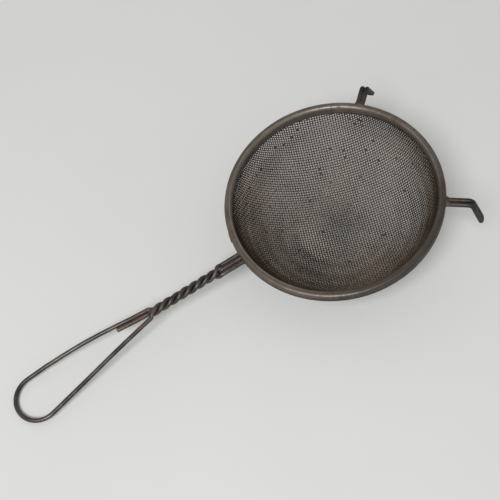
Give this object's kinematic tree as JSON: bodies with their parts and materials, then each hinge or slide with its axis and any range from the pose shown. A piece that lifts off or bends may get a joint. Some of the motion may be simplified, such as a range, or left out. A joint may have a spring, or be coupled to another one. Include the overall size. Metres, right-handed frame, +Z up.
{
  "type": "flour sifter",
  "caption": "Hand flour sifter: round wire-cloth bowl in a folded steel rim, twisted three-strand wire handle with a hanging loop, and two hairpin rests.",
  "frame": {"origin": "on the table, under the middle of the resting sifter's bounding box", "axes": "+Z up from the table, -X toward the hanging loop of the handle, +X toward the two rests; the sifter lies as it rests, tipped 11 degrees onto the bowl's bottom and the end of its handle"},
  "size_m": [0.3328, 0.152, 0.0671],
  "materials": {
    "rim_steel": "dull, worn and darkened tinned steel strip",
    "frame_wire": "dull dark steel wire with rust in the twist",
    "rest_wire": "dull dark steel wire",
    "wire_cloth": "woven dull grey-brown steel wire with a few clogged openings",
    "solder": "tarnished solder"
  },
  "bodies": {
    "root": {"rim_band": "rim_steel", "mesh_bowl": "wire_cloth", "hoop_wire": "frame_wire", "handle_wire": "frame_wire", "rest_wire_left": "rest_wire", "rest_wire_right": "rest_wire", "solder_rest_left": "solder", "solder_rest_right": "solder", "solder_handle": "solder"}
  },
  "joints": []
}
